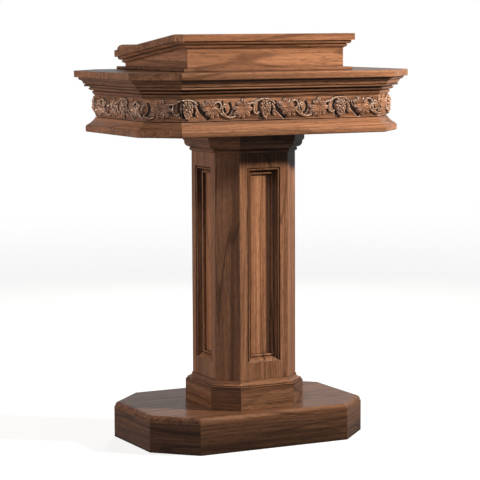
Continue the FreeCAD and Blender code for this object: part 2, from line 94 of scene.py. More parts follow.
class Tree:
    """Short names for the few node kinds that the materials and the world use."""

    def __init__(self, owner):
        owner.use_nodes = True
        self.owner = owner
        self.nodes = owner.node_tree.nodes
        self.links = owner.node_tree.links

    def plug(self, value, socket):
        """Links an output to a socket, or sets a plain number, colour or vector on it."""
        if isinstance(value, bpy.types.NodeSocket):
            self.links.new(value, socket)
        else:
            socket.default_value = value

    def math(self, operation, a, b=0.0, c=0.0):
        node = self.nodes.new("ShaderNodeMath")
        node.operation = operation
        for value, socket in zip((a, b, c), node.inputs):
            self.plug(value, socket)
        return node.outputs[0]

    def coordinates(self, kind="Object"):
        """Place as three outputs, or for kind Generated in a world, the direction."""
        node = self.nodes.new("ShaderNodeSeparateXYZ")
        self.links.new(self.nodes.new("ShaderNodeTexCoord").outputs[kind], node.inputs[0])
        return node.outputs[0], node.outputs[1], node.outputs[2]

    def vector(self, x, y, z):
        node = self.nodes.new("ShaderNodeCombineXYZ")
        for value, socket in zip((x, y, z), node.inputs):
            self.plug(value, socket)
        return node.outputs[0]

    def scaled(self, vector, factors):
        node = self.nodes.new("ShaderNodeVectorMath")
        node.operation = "MULTIPLY"
        self.plug(vector, node.inputs[0])
        node.inputs[1].default_value = factors
        return node.outputs[0]

    def noise(self, vector, scale, detail=2.0, roughness=0.5):
        node = self.nodes.new("ShaderNodeTexNoise")
        self.plug(vector, node.inputs["Vector"])
        node.inputs["Scale"].default_value = scale
        node.inputs["Detail"].default_value = detail
        node.inputs["Roughness"].default_value = roughness
        return node.outputs["Fac"]

    def remap(self, value, from_low, from_high, to_low=0.0, to_high=1.0, smooth=False):
        node = self.nodes.new("ShaderNodeMapRange")
        node.interpolation_type = "SMOOTHSTEP" if smooth else "LINEAR"
        for item, socket in zip((value, from_low, from_high, to_low, to_high), node.inputs):
            self.plug(item, socket)
        return node.outputs[0]

    def product(self, *values):
        """All the values multiplied together."""
        result = values[0]
        for value in values[1:]:
            result = self.math("MULTIPLY", result, value)
        return result

    def shaded(self, colour, shade):
        """The colour times a number."""
        return self.mix_colour(1.0, colour, self.vector(shade, shade, shade), "MULTIPLY")

    def mix_number(self, factor, a, b):
        """a where factor is 0, b where it is 1."""
        node = self.nodes.new("ShaderNodeMix")
        node.data_type = "FLOAT"
        for value, socket in zip((factor, a, b), (node.inputs[0], node.inputs[2], node.inputs[3])):
            self.plug(value, socket)
        return node.outputs[0]

    def mix_colour(self, factor, a, b, blend="MIX"):
        node = self.nodes.new("ShaderNodeMix")
        node.data_type = "RGBA"
        node.blend_type = blend
        for value, socket in zip((factor, a, b), (node.inputs[0], node.inputs[6], node.inputs[7])):
            self.plug(value, socket)
        return node.outputs[2]

    def attribute(self, name):
        """A number stored per vertex."""
        node = self.nodes.new("ShaderNodeAttribute")
        node.attribute_name = name
        return node.outputs["Fac"]

    def bump(self, height, distance):
        node = self.nodes.new("ShaderNodeBump")
        self.plug(height, node.inputs["Height"])
        node.inputs["Distance"].default_value = distance
        return node.outputs["Normal"]


def new_material(name):
    """A tree whose shader is the material's Principled BSDF."""
    tree = Tree(bpy.data.materials.new(name))
    tree.shader = tree.nodes["Principled BSDF"]
    return tree


def board_coordinates(tree, grain, centre):
    """(along the grain, across, across) for a straight board, counted from its middle."""
    places = zip(tree.coordinates(), centre)
    x, y, z = (tree.math("SUBTRACT", value, middle) for value, middle in places)
    return {"x": (x, y, z), "y": (y, x, z), "z": (z, x, y)}[grain]


# Weights of the number that tells the boards of a ring apart, and how far that number moves the grain
BOARD_BY_END = 0.37
BOARD_BY_DEPTH = 0.61
BOARD_BY_CORNER = 1.7
BOARD_SHIFT_ALONG = 1.9
BOARD_SHIFT_ACROSS = 0.013


def ring_coordinates(tree, outline, centre_z, upright=False):
    """The same for boards that run round an octagon: each one's grain follows its own side.

    The last output is a number that differs from board to board.
    """
    x, y, z = tree.coordinates()
    y = tree.math("SUBTRACT", y, outline["centre_y"])
    z = tree.math("SUBTRACT", z, centre_z)
    size_x = tree.math("ABSOLUTE", x)
    size_y = tree.math("ABSOLUTE", y)
    diagonal = (outline["half_x"] + outline["half_y"] - outline["chamfer"]) / math.sqrt(2)
    beyond_x = tree.math("SUBTRACT", size_x, outline["half_x"])
    beyond_y = tree.math("SUBTRACT", size_y, outline["half_y"])
    corner_sum = tree.math("MULTIPLY", tree.math("ADD", size_x, size_y), math.sqrt(0.5))
    beyond_corner = tree.math("SUBTRACT", corner_sum, diagonal)
    beyond_flat = tree.math("MAXIMUM", beyond_x, beyond_y)
    on_corner = tree.math("GREATER_THAN", beyond_corner, beyond_flat)
    on_end = tree.math("GREATER_THAN", beyond_x, beyond_y)

    along_corner = tree.math("MULTIPLY", tree.math("SUBTRACT", size_x, size_y), math.sqrt(0.5))
    along = tree.mix_number(on_corner, tree.mix_number(on_end, x, y), along_corner)
    beyond = tree.math("MAXIMUM", beyond_flat, beyond_corner)

    not_corner = tree.math("SUBTRACT", 1.0, on_corner)
    on_front = tree.math("MULTIPLY", not_corner, tree.math("SUBTRACT", 1.0, on_end))
    by_x = tree.math("MULTIPLY_ADD", on_front, -BOARD_BY_END, BOARD_BY_END)
    by_x = tree.math("MULTIPLY", tree.math("SIGN", x), by_x)
    by_y = tree.math("MULTIPLY", tree.math("SIGN", y), tree.math("MAXIMUM", on_front, on_corner))
    board = tree.math("MULTIPLY_ADD", by_y, BOARD_BY_DEPTH, by_x)
    board = tree.math("MULTIPLY_ADD", on_corner, BOARD_BY_CORNER, board)
    if upright:
        return z, along, beyond, board
    return along, beyond, z, board


OAK_LIGHT = (0.355, 0.162, 0.084, 1.0)
OAK_MIDDLE = (0.195, 0.083, 0.040, 1.0)
OAK_DARK = (0.066, 0.026, 0.013, 1.0)

RING_SPACING = 0.0085
RING_CONTRAST = 0.4
PITH_ACROSS = 0.09
PITH_BELOW = 0.03
GRAIN_LEAN = 0.05
PORE_DEPTH = 0.00022

# Layers of noise in the wood: how fine each one is along the grain and across it, per metre
GRAIN = {
    "drift": (0.9, 3.0),
    "ripple": (5.0, 24.0),
    "patches": (1.6, 9.0),
    "streaks": (2.0, 120.0),
    "mineral": (0.9, 75.0),
    "figure": (1.1, 13.0),
    "bands": (0.8, 38.0),
    "flecks": (45.0, 300.0),
    "pores": (20.0, 620.0),
    "clouds": (1.6, 6.0),
}


def grain_noise(tree, place, layer, detail=2.0, roughness=0.5):
    along, across = GRAIN[layer]
    return tree.noise(tree.scaled(place, (along, across, across)), 1.0, detail, roughness)


def growth_rings(tree, place, along, across, other, seed):
    """Dark rings round a pith that lies a little outside the board."""
    leaning = tree.math("MULTIPLY_ADD", along, GRAIN_LEAN * math.sin(seed * 3.3), across)
    to_pith = tree.nodes.new("ShaderNodeVectorMath")
    to_pith.operation = "LENGTH"
    tree.plug(
        tree.vector(
            0.0,
            tree.math("ADD", leaning, PITH_ACROSS * math.cos(seed * 2.7)),
            tree.math("ADD", other, PITH_BELOW),
        ),
        to_pith.inputs[0],
    )
    drift = grain_noise(tree, place, "drift", detail=1.0)
    ripple = grain_noise(tree, place, "ripple")
    radius = tree.math("MULTIPLY_ADD", drift, 0.09, to_pith.outputs["Value"])
    radius = tree.math("MULTIPLY_ADD", ripple, 0.007, radius)
    phase = tree.math("FRACT", tree.math("DIVIDE", radius, RING_SPACING))
    early_wood = tree.product(
        tree.remap(phase, 0.0, 0.18, smooth=True),
        tree.remap(phase, 0.20, 0.95, 1.0, 0.0, smooth=True),
    )
    patches = grain_noise(tree, place, "patches")
    strength = tree.product(tree.remap(patches, 0.35, 0.7, 0.2, 1.0), RING_CONTRAST)
    return tree.product(early_wood, strength)


def oak_shader(tree, along, across, other, seed, tone):
    """Oak under a stain: growth rings, streaks, flecks and open pores that all run along the grain.

    Returns the colour, how much of a dark ring there is, how much of a pore, and the height for bump.
    """
    place = tree.vector(
        tree.math("ADD", along, 3.7 * math.sin(seed * 1.3)),
        tree.math("ADD", across, 0.9 * math.sin(seed * 2.1)),
        tree.math("ADD", other, 0.9 * math.cos(seed * 1.7)),
    )
    rings = growth_rings(tree, place, along, across, other, seed)
    pores = grain_noise(tree, place, "pores", detail=1.0)
    pore_mask = tree.product(
        tree.remap(pores, 0.52, 0.66, smooth=True),
        tree.remap(rings, 0.0, 0.4, 0.5, 1.0),
    )

    bands = grain_noise(tree, place, "bands")
    streaks = grain_noise(tree, place, "streaks", detail=4.0, roughness=0.7)
    light = tree.math("MULTIPLY_ADD", bands, 0.4, tree.math("MULTIPLY", streaks, 0.6))
    colour = tree.mix_colour(tree.remap(light, 0.42, 0.58), OAK_MIDDLE, OAK_LIGHT)

    mineral = grain_noise(tree, place, "mineral", detail=1.0)
    figure = grain_noise(tree, place, "figure", detail=1.0)
    from_line = tree.math("ABSOLUTE", tree.math("SUBTRACT", figure, 0.5))
    flecks = grain_noise(tree, place, "flecks", detail=3.0, roughness=0.7)
    darkenings = (
        rings,
        tree.remap(mineral, 0.60, 0.72, 0.0, 0.5, smooth=True),
        tree.remap(from_line, 0.004, 0.016, 0.6, 0.0, smooth=True),
        tree.remap(flecks, 0.50, 0.68, 0.0, 0.6),
        tree.product(pore_mask, 0.5),
    )
    for amount in darkenings:
        colour = tree.mix_colour(amount, colour, OAK_DARK)

    clouds = grain_noise(tree, place, "clouds")
    colour = tree.shaded(colour, tree.remap(clouds, 0.3, 0.7, 0.94 * tone, 1.20 * tone))
    height = tree.math("MULTIPLY_ADD", pore_mask, -1.0, tree.math("MULTIPLY", rings, -0.3))
    return colour, rings, pore_mask, height


# Dark glaze and painted shade that ambient occlusion lays into recesses: its colour, its reach, and
# how much each kind of piece gets
GLAZE_AND_SHADE = (0.018, 0.009, 0.006, 1.0)
GLAZE_AND_SHADE_REACH = 0.007
GLAZE_AND_SHADE_ON_MOULDINGS = 0.9
GLAZE_AND_SHADE_ON_CARVING = 0.7
GLAZE_AND_SHADE_ON_BOARDS = 0.3


def finish_oak(tree, colour, rings, pore_mask, height, glaze_and_shade_left):
    """Dark glaze and painted shade left in the recesses, and a semi-gloss lacquer over everything."""
    shader = tree.shader
    recess = tree.nodes.new("ShaderNodeAmbientOcclusion")
    recess.samples = 6
    recess.only_local = False
    recess.inputs["Distance"].default_value = GLAZE_AND_SHADE_REACH
    # Painted shade: the more the ambient occlusion, the more dark glaze in the recess
    glaze_and_shade = tree.remap(recess.outputs["AO"], 0.80, 0.35, 0.0, glaze_and_shade_left, smooth=True)
    tree.plug(tree.mix_colour(glaze_and_shade, colour, GLAZE_AND_SHADE), shader.inputs["Base Color"])
    roughness = tree.remap(rings, 0.0, 0.5, 0.36, 0.44)
    tree.plug(tree.math("MULTIPLY_ADD", pore_mask, 0.15, roughness), shader.inputs["Roughness"])
    tree.plug(tree.bump(height, PORE_DEPTH), shader.inputs["Normal"])
    shader.inputs["Specular IOR Level"].default_value = 0.3
    shader.inputs["Coat Weight"].default_value = 0.4
    shader.inputs["Coat Roughness"].default_value = 0.14
    return tree.owner


def board_oak(node, grain, seed, glaze_and_shade_left, tone):
    """Oak for one straight board or a group of boards that share a direction."""
    low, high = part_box(node)
    tree = new_material("oak_" + node)
    along, across, other = board_coordinates(tree, grain, (low + high) / 2)
    return finish_oak(tree, *oak_shader(tree, along, across, other, seed, tone), glaze_and_shade_left)


# Painted shade on the skirt: how high it reaches, and the share of the colour left at the foot
PAINTED_SHADE_UP_TO = 0.115
PAINTED_SHADE_AT_FOOT = 0.38


def ring_oak(node, outline, seed, tone, upright=False):
    """Oak for boards and mouldings that follow an octagon. The skirt is painted darker towards the
    floor, as painted shade where the light falls off near it.
    """
    low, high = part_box(node)
    tree = new_material("oak_" + node)
    along, across, other, board = ring_coordinates(tree, outline, (low.z + high.z) / 2, upright)
    along = tree.math("MULTIPLY_ADD", board, BOARD_SHIFT_ALONG, along)
    other = tree.math("MULTIPLY_ADD", board, BOARD_SHIFT_ACROSS, other)
    colour, rings, pore_mask, height = oak_shader(tree, along, across, other, seed, tone)
    # Painted shade: the skirt darkens towards the floor
    if node.startswith("base_skirt"):
        _, _, z = tree.coordinates()
        colour = tree.shaded(colour, tree.remap(z, low.z, PAINTED_SHADE_UP_TO, PAINTED_SHADE_AT_FOOT, 1.0))
    return finish_oak(tree, colour, rings, pore_mask, height, GLAZE_AND_SHADE_ON_MOULDINGS)


def paint(node, material):
    nodes[node].data.materials.clear()
    nodes[node].data.materials.append(material)


# Nodes whose grain follows an octagon
RINGS = (
    (BASE_OUTLINE, (
        "base_skirt_front", "base_skirt_back", "base_skirt_left", "base_skirt_right",
        "base_skirt_corners", "base_cleats",
    )),
    (COLUMN_OUTLINE, ("plinth_boards", "plinth_corners", "plinth_moulding", "cap_moulding")),
    (CASE_OUTLINE, (
        "cove_moulding", "bed_moulding", "crown_moulding", "case_wall_front", "case_wall_left",
        "case_wall_right", "case_wall_corners", "case_cleats", "frieze_back",
    )),
)
# Nodes whose grain runs straight along one axis
BOARDS = (
    ("x", (
        "base_top_board", "case_bottom_board", "main_top_board", "case_back_frame", "desk_plate",
        "desk_cap_strip", "reading_board", "book_stop", "desk_panel_front", "desk_panel_back",
        "desk_moulding_front", "desk_moulding_back",
    )),
    ("y", ("desk_panel_left", "desk_panel_right", "desk_moulding_left", "desk_moulding_right")),
    ("x", ("desk_cleats", "column_blocks")),
)
COLUMN_NODES = ("column_stave", "column_frame", "column_panel", "panel_moulding")
# How light each board's wood and stain came out, where it isn't 1; the darker base and plinth tones
# also stand in for painted shade towards the floor
TONES_AND_SHADE = {
    "cove_moulding": 1.35, "case_bottom_board": 1.24, "main_top_board": 1.2,
    "plinth_boards": 0.76, "plinth_corners": 0.56, "base_top_board": 0.82,
    "base_skirt_front": 0.68, "base_skirt_corners": 0.72, "base_skirt_left": 0.76,
    "desk_cap_strip": 1.6, "desk_panel_front": 1.25, "book_stop": 0.7,
}
PANEL_TONE = 1.45
COLUMN_TONE = 1.07


def paint_wood():
    """Gives every wooden CAD node oak whose grain runs the way that piece was cut."""
    seed = 1.0
    for outline, names in RINGS:
        for node in names:
            seed += 1.0
            paint(node, ring_oak(node, outline, seed, TONES_AND_SHADE.get(node, 1.0)))
    for grain, names in BOARDS:
        for node in names:
            seed += 1.0
            is_moulding = node.startswith("desk_moulding")
            glaze_and_shade_left = GLAZE_AND_SHADE_ON_MOULDINGS if is_moulding else GLAZE_AND_SHADE_ON_BOARDS
            paint(node, board_oak(node, grain, seed, glaze_and_shade_left, TONES_AND_SHADE.get(node, 1.0)))
    for node in sorted(nodes):
        if node.startswith(COLUMN_NODES):
            seed += 1.0
            tone = PANEL_TONE if node.startswith("column_panel") else COLUMN_TONE
            paint(node, ring_oak(node, COLUMN_OUTLINE, seed, tone, upright=True))


ZINC_DARK = (0.42, 0.42, 0.40, 1.0)
ZINC_LIGHT = (0.66, 0.66, 0.62, 1.0)


def zinc_steel():
    """Dull plated steel for the screws."""
    tree = new_material("zinc_steel")
    x, y, z = tree.coordinates()
    grain = tree.noise(tree.scaled(tree.vector(x, y, z), (900.0, 900.0, 300.0)), 1.0, detail=3.0)
    tree.plug(tree.mix_colour(grain, ZINC_DARK, ZINC_LIGHT), tree.shader.inputs["Base Color"])
    tree.plug(tree.remap(grain, 0.3, 0.7, 0.28, 0.45), tree.shader.inputs["Roughness"])
    tree.plug(tree.bump(grain, 0.0001), tree.shader.inputs["Normal"])
    tree.shader.inputs["Metallic"].default_value = 1.0
    return tree.owner


# ---- carved grapevine frieze

# The pattern is in mm, along the frieze from the middle of a bunch and up from the frieze's foot
PERIOD = 236.0
# The bunch: each row's level, its number of berries and how far its middle is shifted
GRAPE_ROWS = (
    (50.5, 3, 0.5), (44.8, 4, -0.6), (38.8, 4, 2.4), (32.8, 4, -1.2), (27.0, 4, 1.8),
    (21.2, 3, -0.6), (15.6, 3, 1.4), (10.4, 2, 0.6), (6.0, 1, 1.6),
)
GRAPE_RADIUS = 3.9
GRAPE_PITCH = 7.4
GRAPE_LIFT = 2.2
# Leaves: the middle, and each lobe as (tip, half width)
LEAF_ONE = ((68, 31), (
    ((57, 59), 10), ((77, 55), 8), ((41, 48), 9), ((42, 33), 8),
    ((55, 14), 9), ((75, 5), 8), ((94, 12), 9), ((101, 27), 8),
))
LEAF_TWO = ((166, 31), (
    ((135, 33), 9), ((149, 51), 9), ((168, 61), 9), ((188, 46), 10), ((198, 31), 8),
    ((188, 11), 10), ((169, 4), 8), ((151, 7), 9), ((136, 16), 8),
))
LEAF_LIFT = 1.6
LEAF_SWELL = 4.6
VEIN_DEPTH = 1.7
# Stems, each as (points, radius, lift, taper)
STEMS = (
    (((-34, 47), (-27, 52), (-17, 56), (-4, 57.5), (8, 57), (18, 53), (27, 46)), 2.2, 2.6, -0.4),
    (((84, 29), (97, 21), (109, 13.5), (120, 8.5), (132, 8), (142, 11)), 2.7, 2.6, 0.1),
    (((78, 47), (88, 52), (97, 49), (100, 40), (95, 32), (87, 28)), 2.8, 4.0, 0.4),
    (
        ((110, 37), (115, 41), (110, 45), (105, 39), (103, 29), (108, 19.5), (117, 12), (127, 8)),
        2.5, 3.0, 0.1,
    ),
    (((186, 44), (194, 47), (202, 46), (210, 51), (219, 56), (228, 57)), 2.5, 2.8, 0.1),
    (((202, 47), (199.5, 36), (200, 25), (204, 19), (211, 17.5), (215, 21)), 2.7, 3.0, 0.2),
    (((21, 42), (25, 35), (26, 27), (24, 20), (29, 13.5)), 3.2, 2.2, 0.2),
)
# Deep pockets cut into the ground, each as (points, radius)
POCKETS = (
    (((31, 48), (33, 38), (39, 27), (49, 18), (62, 6)), 5.5),
    (((20, 30), (20, 14)), 3.0),
    (((-18, 47), (-21, 36), (-19, 24), (-11, 11)), 4.5),
    (((195, 43), (195, 32), (196, 20)), 3.5),
    (((105, 52), (99, 38), (97, 32)), 3.5),
    (((110, 41), (109, 33), (113, 24)), 3.5),
    (((126, 47), (130, 36), (127, 22), (120, 16)), 4.5),
)
POCKET_DEPTH = 4.0
TOOL_MARKS = 0.12
FACETS = 0.6
# How far the carved ground lies behind the plain band
SUNK = 1.8


def smooth_step(value):
    value = np.clip(value, 0.0, 1.0)
    return value * value * (3 - 2 * value)


def smooth_path(points, steps=10):
    """Catmull-Rom curve through the points."""
    points = np.array(points)
    padded = np.vstack([2 * points[0] - points[1], points, 2 * points[-1] - points[-2]])
    share = np.linspace(0, 1, steps, endpoint=False)[:, None]
    spans = []
    for a, b, c, d in zip(padded, padded[1:], padded[2:], padded[3:]):
        spans.append(0.5 * (2 * b + (c - a) * share + (2 * a - 5 * b + 4 * c - d) * share**2
                            + (3 * b - a - 3 * c + d) * share**3))
    return np.vstack(spans + [points[-1:]])


def stroke(s, t, points, radius, lift, taper=0.4):
    """A round stem along a curved line, thinner towards its end."""
    path = smooth_path(points)
    nearest = np.full(s.shape, 1e9)
    width = np.full(s.shape, radius)
    count = len(path) - 1
    for index, (a, b) in enumerate(zip(path, path[1:])):
        span = b - a
        share = np.clip(((s - a[0]) * span[0] + (t - a[1]) * span[1]) / (span @ span), 0, 1)
        distance = np.hypot(s - a[0] - share * span[0], t - a[1] - share * span[1])
        closer = distance < nearest
        nearest = np.where(closer, distance, nearest)
        width = np.where(closer, radius * (1 - taper * (index + share) / count), width)
    inside = np.clip(1 - (nearest / width) ** 2, 0, 1)
    return np.where(nearest < width, lift + width * np.sqrt(inside), 0.0)


def grapes(s, t):
    """A bunch of round berries that narrows towards its tip."""
    height = np.zeros(s.shape)
    for row, (level, count, shift) in enumerate(GRAPE_ROWS):
        for berry in range(count):
            place = berry - (count - 1) / 2
            across = shift + place * GRAPE_PITCH + 0.9 * math.sin(3.1 * row + 1.7 * berry)
            up = level + 1.0 * math.cos(2.3 * row + 2.9 * berry)
            lift = GRAPE_LIFT + 1.4 * math.cos(place * 0.9) + 0.8 * math.sin(row * 2.0 + 2.6 * berry)
            distance = np.hypot(s - across, t - up)
            dome = lift + np.sqrt(np.clip(GRAPE_RADIUS**2 - distance**2, 0, None))
            height = np.maximum(height, np.where(distance < GRAPE_RADIUS, dome, 0.0))
    return height


def lobe(s, t, root, tip, width):
    """One lobe of a leaf: domed across, with a vein down its middle and a toothed edge."""
    axis = np.subtract(tip, root)
    length = np.hypot(*axis)
    along = ((s - root[0]) * axis[0] + (t - root[1]) * axis[1]) / length
    across = ((t - root[1]) * axis[0] - (s - root[0]) * axis[1]) / length
    share = np.clip(along / length, 0, 1)
    edge = width * np.sin(math.pi * (0.12 + 0.88 * share) ** 0.9) ** 0.7
    edge = edge * (1 + 0.14 * np.cos(share * 5 * math.pi)) + 0.01
    aside = across / edge
    inside = (np.abs(aside) < 1) & (along > 0) & (along < length)
    lengthwise = 0.35 + 0.65 * np.sin(math.pi * share ** 1.4)
    swell = LEAF_SWELL * lengthwise * np.sqrt(np.clip(1 - aside**2, 0, 1))
    vein = VEIN_DEPTH * np.exp(-across ** 2) * smooth_step(share * 4)
    return np.where(inside, LEAF_LIFT + swell - vein, 0.0)


def leaf(s, t, middle, lobes):
    """A vine leaf: lobes that spread from a sunken middle, with deep notches between them."""
    return np.maximum.reduce([lobe(s, t, middle, tip, width) for tip, width in lobes])


def ripples(s, t, first, second):
    """Two sets of waves that cross, each given as (rate, sway, rate of the sway) per mm."""
    rate, sway, sway_rate = first
    along = np.sin(s * rate + sway * np.sin(t * sway_rate))
    rate, sway, sway_rate = second
    return along * np.sin(t * rate + sway * np.sin(s * sway_rate))


def relief(s, t):
    """Height of the carving above its ground in mm, s mm along the frieze and t mm up it."""
    s = np.mod(s + PERIOD / 2, PERIOD) - PERIOD / 2
    height = np.zeros(s.shape)
    depth = np.zeros(s.shape)
    for shift in (-PERIOD, 0.0, PERIOD):
        here = s - shift
        parts = [grapes(here, t), leaf(here, t, *LEAF_ONE), leaf(here, t, *LEAF_TWO)]
        parts += [stroke(here, t, *stem) for stem in STEMS]
        height = np.maximum.reduce([height] + parts)
        cuts = [stroke(here, t, points, radius, 0.0, 0.0) / radius for points, radius in POCKETS]
        depth = np.maximum.reduce([depth] + cuts)
    tool_marks = TOOL_MARKS * ripples(s, t, (0.8, 1.6, 0.31), (0.55, 1.1, 0.17))
    ground = tool_marks - POCKET_DEPTH * smooth_step(depth * 1.4)
    facets = FACETS * ripples(s, t, (1.15, 2.0, 0.83), (1.31, 1.7, 0.71))
    return np.where(height > 0, height + facets, ground) - SUNK


FRIEZE_LOW, FRIEZE_HIGH = (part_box("frieze_front")[index].z for index in (0, 1))
FRIEZE_EDGE_BOTTOM = 0.0550
FRIEZE_EDGE_TOP = 0.0530
FRIEZE_BOW = 0.0047
CARVE_STEP = 0.8 * MM
# Over how many mm the carving dies away at the ends and at the edges
FADE_AT_ENDS = 3.0
FADE_AT_EDGES = 2.0


def frieze_ground(share):
    """Inset of the plain convex band at a share of its height."""
    straight = FRIEZE_EDGE_BOTTOM + (FRIEZE_EDGE_TOP - FRIEZE_EDGE_BOTTOM) * share
    return straight - FRIEZE_BOW * np.sin(share * math.pi)


def carved_grid(start, end, phase):
    """Points of the carved face of one length, row by row from the bottom, and the carving in mm."""
    along = (end - start).normalized()
    inward = Vector((-along.y, along.x, 0))
    length = (end - start).length
    columns = int(length / CARVE_STEP)
    rows = int((FRIEZE_HIGH - FRIEZE_LOW) / CARVE_STEP)
    u = np.linspace(0, 1, columns + 1)[None, :].repeat(rows + 1, axis=0)
    v = np.linspace(0, 1, rows + 1)[:, None].repeat(columns + 1, axis=1)
    ground = frieze_ground(v)
    first = ground * math.tan(HALF_CORNER)
    place = first + (length - 2 * first) * u

    height_mm = (FRIEZE_HIGH - FRIEZE_LOW) / MM
    carving = relief((place - length / 2) / MM + phase, v * height_mm)
    from_end = np.minimum(place - first, length - first - place) / MM
    from_edge = np.minimum(v, 1 - v) * height_mm
    carving = (carving + SUNK) * smooth_step(from_end / FADE_AT_ENDS) - SUNK
    carving *= smooth_step(from_edge / FADE_AT_EDGES)

    depth = ground - carving * MM
    first = depth * math.tan(HALF_CORNER)
    place = first + (length - 2 * first) * u
    points = np.stack([
        start.x + along.x * place + inward.x * depth,
        start.y + along.y * place + inward.y * depth,
        FRIEZE_LOW + v * (FRIEZE_HIGH - FRIEZE_LOW),
    ], axis=-1)
    return points, carving


def back_corners(start, end):
    """The four corners of the flat back, anticlockwise as seen from outside, from the bottom left."""
    along = (end - start).normalized()
    inward = Vector((-along.y, along.x, 0))
    mitre = WALL_INSET * math.tan(HALF_CORNER)
    left = start + along * mitre + inward * WALL_INSET
    right = end - along * mitre + inward * WALL_INSET
    return [
        (left.x, left.y, FRIEZE_LOW), (right.x, right.y, FRIEZE_LOW),
        (right.x, right.y, FRIEZE_HIGH), (left.x, left.y, FRIEZE_HIGH),
    ]


def closed_faces(rows, columns):
    """Faces of the carved grid, then of the bottom, top, ends and back that close it."""
    width = columns + 1
    faces = []
    for row in range(rows):
        for column in range(columns):
            here = row * width + column
            faces.append((here, here + 1, here + width + 1, here + width))
    base = (rows + 1) * width
    bottom = tuple(range(width))
    top = tuple(rows * width + column for column in range(width))
    left = tuple(row * width for row in range(rows + 1))
    right = tuple(row * width + columns for row in range(rows + 1))
    faces.append(bottom[::-1] + (base, base + 1))
    faces.append(top + (base + 2, base + 3))
    faces.append(left + (base + 3, base))
    faces.append(right[::-1] + (base + 1, base + 2))
    faces.append((base + 3, base + 2, base + 1, base))
    return faces


def frieze_side(name, start, end, phase, stands_for):
    """One mitred length of the frieze, carved on its front, as a closed mesh."""
    grid, carving = carved_grid(start, end, phase)
    rows, columns = carving.shape[0] - 1, carving.shape[1] - 1
    points = grid.reshape(-1, 3).tolist() + back_corners(start, end)
    mesh = bpy.data.meshes.new(name)
    mesh.from_pydata(points, [], closed_faces(rows, columns))
    mesh.update()
    smooth = np.zeros(len(mesh.polygons), bool)
    smooth[:rows * columns] = True
    mesh.polygons.foreach_set("use_smooth", smooth)
    add_shade_and_highlight_masks(mesh, carving)
    piece = bpy.data.objects.new(name, mesh)
    bpy.context.scene.collection.objects.link(piece)
    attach(piece, "root")
    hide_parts(stands_for)
    return piece


def blurred(heights, passes):
    """The heights averaged with their four neighbours, again and again."""
    for _ in range(passes):
        padded = np.pad(heights, 1, mode="edge")
        heights = (padded[:-2, 1:-1] + padded[2:, 1:-1] + padded[1:-1, :-2] + padded[1:-1, 2:]) / 4
    return heights


def store_per_vertex(mesh, name, field):
    """A number for each vertex of the carved grid, and 0 for the few behind it."""
    values = np.zeros(len(mesh.vertices), np.float32)
    values[:field.size] = field.reshape(-1)
    mesh.attributes.new(name, "FLOAT", "POINT").data.foreach_set("value", values)


# How strongly the carving's hollows and pockets take dark glaze and painted shade
HOLLOW_SCALE = 3.0
HOLLOW_IN_POCKETS = 0.7


def add_shade_and_highlight_masks(mesh, carving):
    """Stores how hollow the carving is at each vertex, where dark glaze and painted shade go, and how
    sharp a crest, where painted highlights go.
    """
    pocket = np.clip(-carving - SUNK, 0, None) / POCKET_DEPTH
    hollow = (blurred(carving, 10) - carving) / HOLLOW_SCALE + HOLLOW_IN_POCKETS * pocket
    store_per_vertex(mesh, "hollow", np.clip(hollow, 0, 1))
    store_per_vertex(mesh, "crest", np.clip(carving - blurred(carving, 5), 0, 1))


# Colour of the painted highlights on the crests of the carving
PAINTED_HIGHLIGHT = (0.92, 0.65, 0.50, 1.0)
# Colour of the dark glaze and painted shade in the carving's hollows
GLAZE_AND_SHADE_IN_CARVING = (0.050, 0.022, 0.014, 1.0)
CARVING_SEED = 71.0
CARVING_TONE = 1.38


def carved_oak():
    """Stained oak with dark glaze and painted shade in the hollows, and painted highlights on the
    crests.
    """
    tree = new_material("carved_oak")
    along, across, other, board = ring_coordinates(tree, CASE_OUTLINE, (FRIEZE_LOW + FRIEZE_HIGH) / 2)
    along = tree.math("MULTIPLY_ADD", board, BOARD_SHIFT_ALONG, along)
    colour, rings, pore_mask, height = oak_shader(
        tree, along, across, other, CARVING_SEED, CARVING_TONE
    )
    # Painted shade: dark glaze laid into the hollows of the carving
    glaze_and_shade = tree.remap(tree.attribute("hollow"), 0.07, 0.45, 0.0, 0.96, smooth=True)
    # Painted highlight: sharp crests are painted lighter, broken into patches
    highlight_patches = tree.noise(tree.vector(along, across, other), 240.0, detail=1.0)
    painted_highlight = tree.product(
        tree.remap(tree.attribute("crest"), 0.25, 0.95, 0.0, 0.95, smooth=True),
        tree.remap(highlight_patches, 0.42, 0.58, 0.1, 1.0),
    )
    colour = tree.mix_colour(painted_highlight, colour, PAINTED_HIGHLIGHT)
    colour = tree.mix_colour(glaze_and_shade, colour, GLAZE_AND_SHADE_IN_CARVING)
    material = finish_oak(tree, colour, rings, pore_mask, height, GLAZE_AND_SHADE_ON_CARVING)
    tree.shader.inputs["Coat Weight"].default_value = 0.8
    tree.shader.inputs["Coat IOR"].default_value = 1.5
    tree.shader.inputs["Coat Roughness"].default_value = 0.13
    return material


def outline_corners(outline):
    """Corners of the octagon, anticlockwise from the left end of the front side."""
    x, y, c = outline["half_x"], outline["half_y"], outline["chamfer"]
    spots = [
        (c - x, -y), (x - c, -y), (x, c - y), (x, y - c),
        (x - c, y), (c - x, y), (-x, y - c), (-x, c - y),
    ]
    return [Vector((a, b + outline["centre_y"], 0)) for a, b in spots]


OCTAGON_SIDES = (
    "front", "front_right", "right", "back_right", "back", "back_left", "left", "front_left",
)
